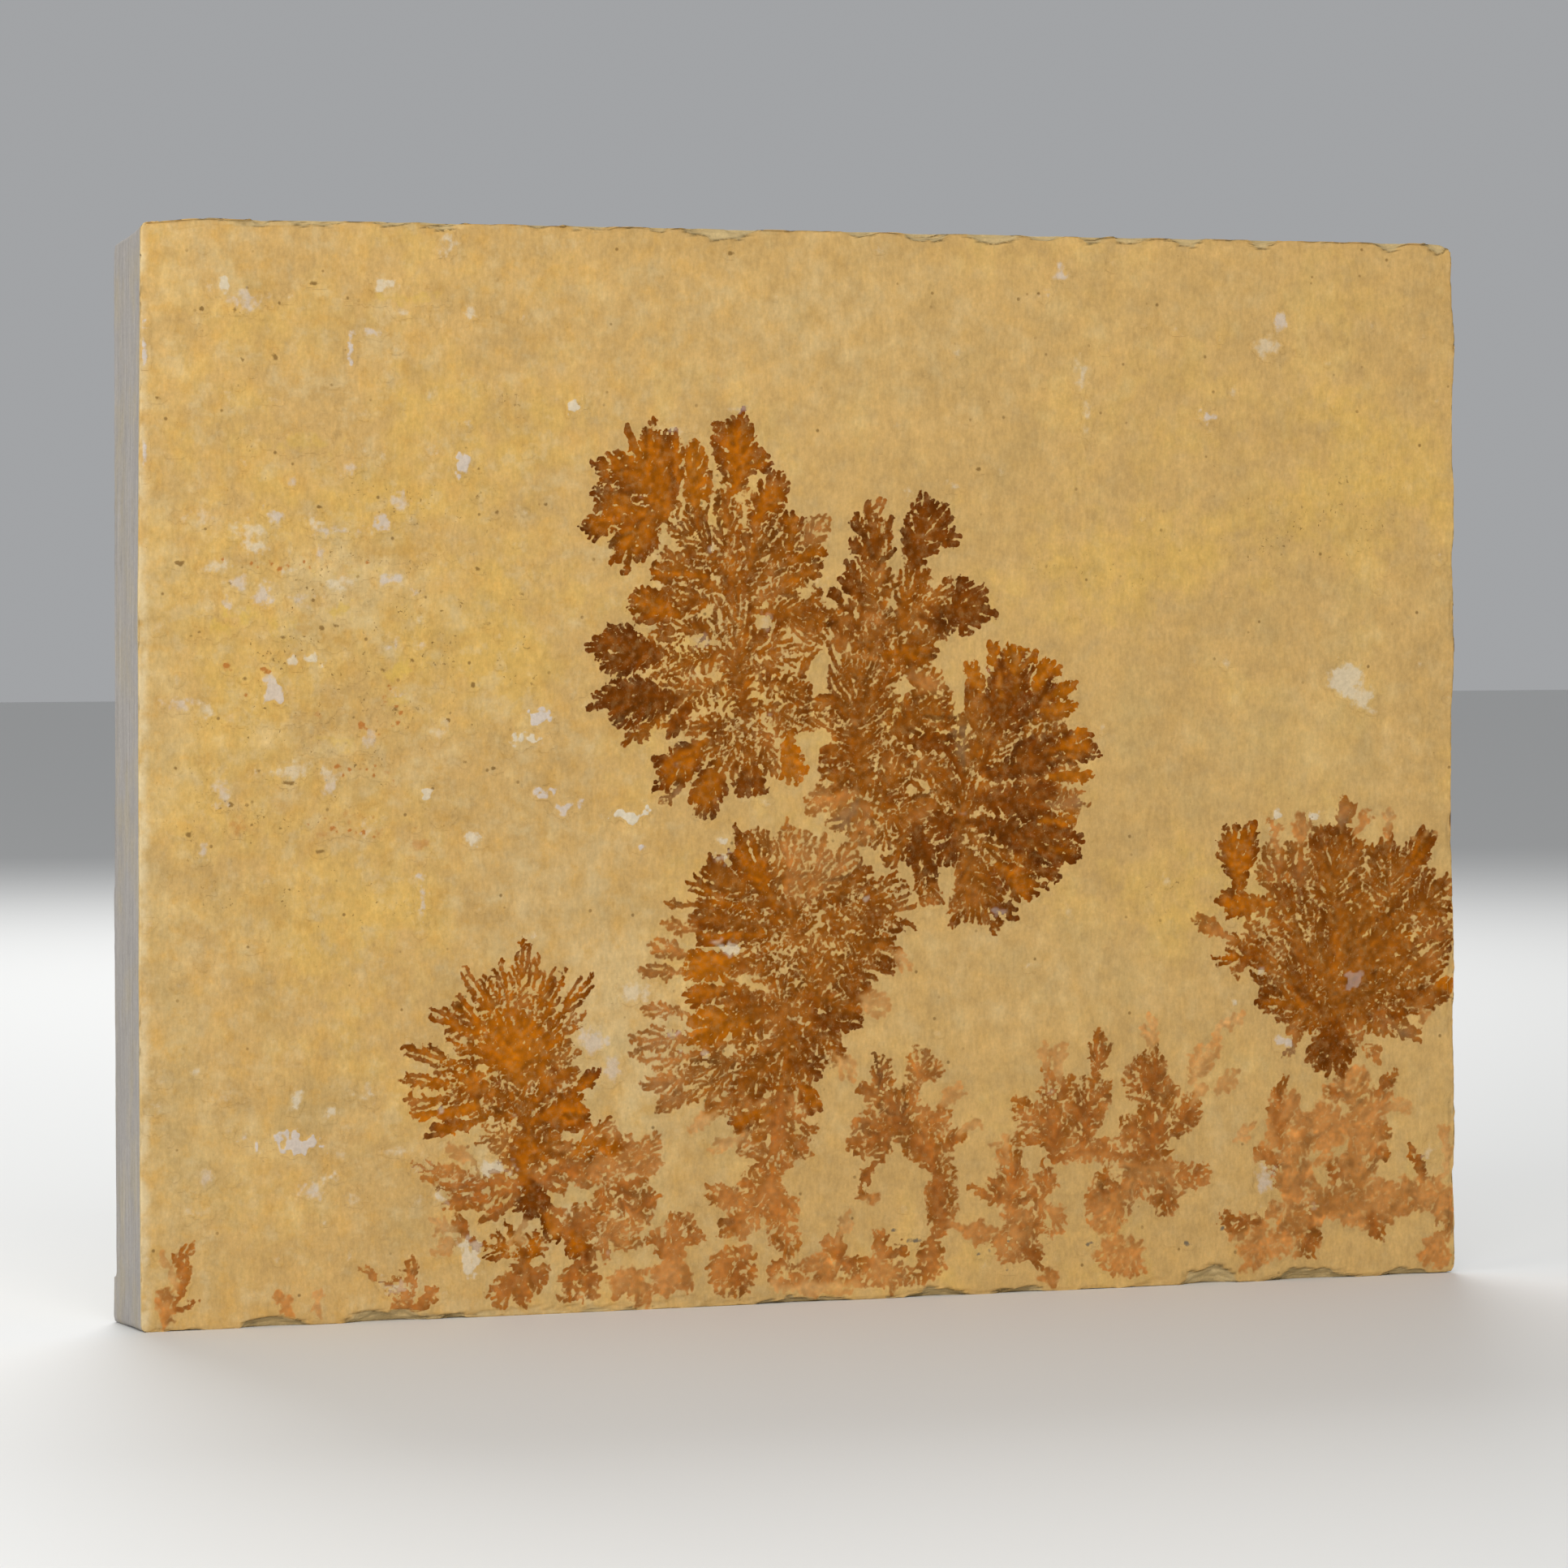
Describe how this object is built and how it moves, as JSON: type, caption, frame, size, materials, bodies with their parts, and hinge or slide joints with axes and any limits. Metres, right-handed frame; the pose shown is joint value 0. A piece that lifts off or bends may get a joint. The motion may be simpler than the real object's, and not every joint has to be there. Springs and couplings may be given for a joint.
{
  "type": "pyrolusite specimen",
  "caption": "Rectangular plate of yellow-ochre bedded limestone with brown and orange tree-shaped mineral dendrites spread over its front face, standing on its lower edge",
  "frame": {"origin": "middle of the footprint, on the plane the slab stands on", "axes": "the front face with the dendrites looks along -Y, the slab's length lies along X, its height along +Z"},
  "size_m": [0.3012, 0.0204, 0.2265],
  "materials": {
    "limestone": "dry weathered bedding plane, matt, yellow ochre; grey on the sawn edges",
    "dendrites": "matt film of manganese and iron oxide lying in the front face"
  },
  "bodies": {
    "root": {"limestone_slab": "limestone"}
  },
  "joints": []
}
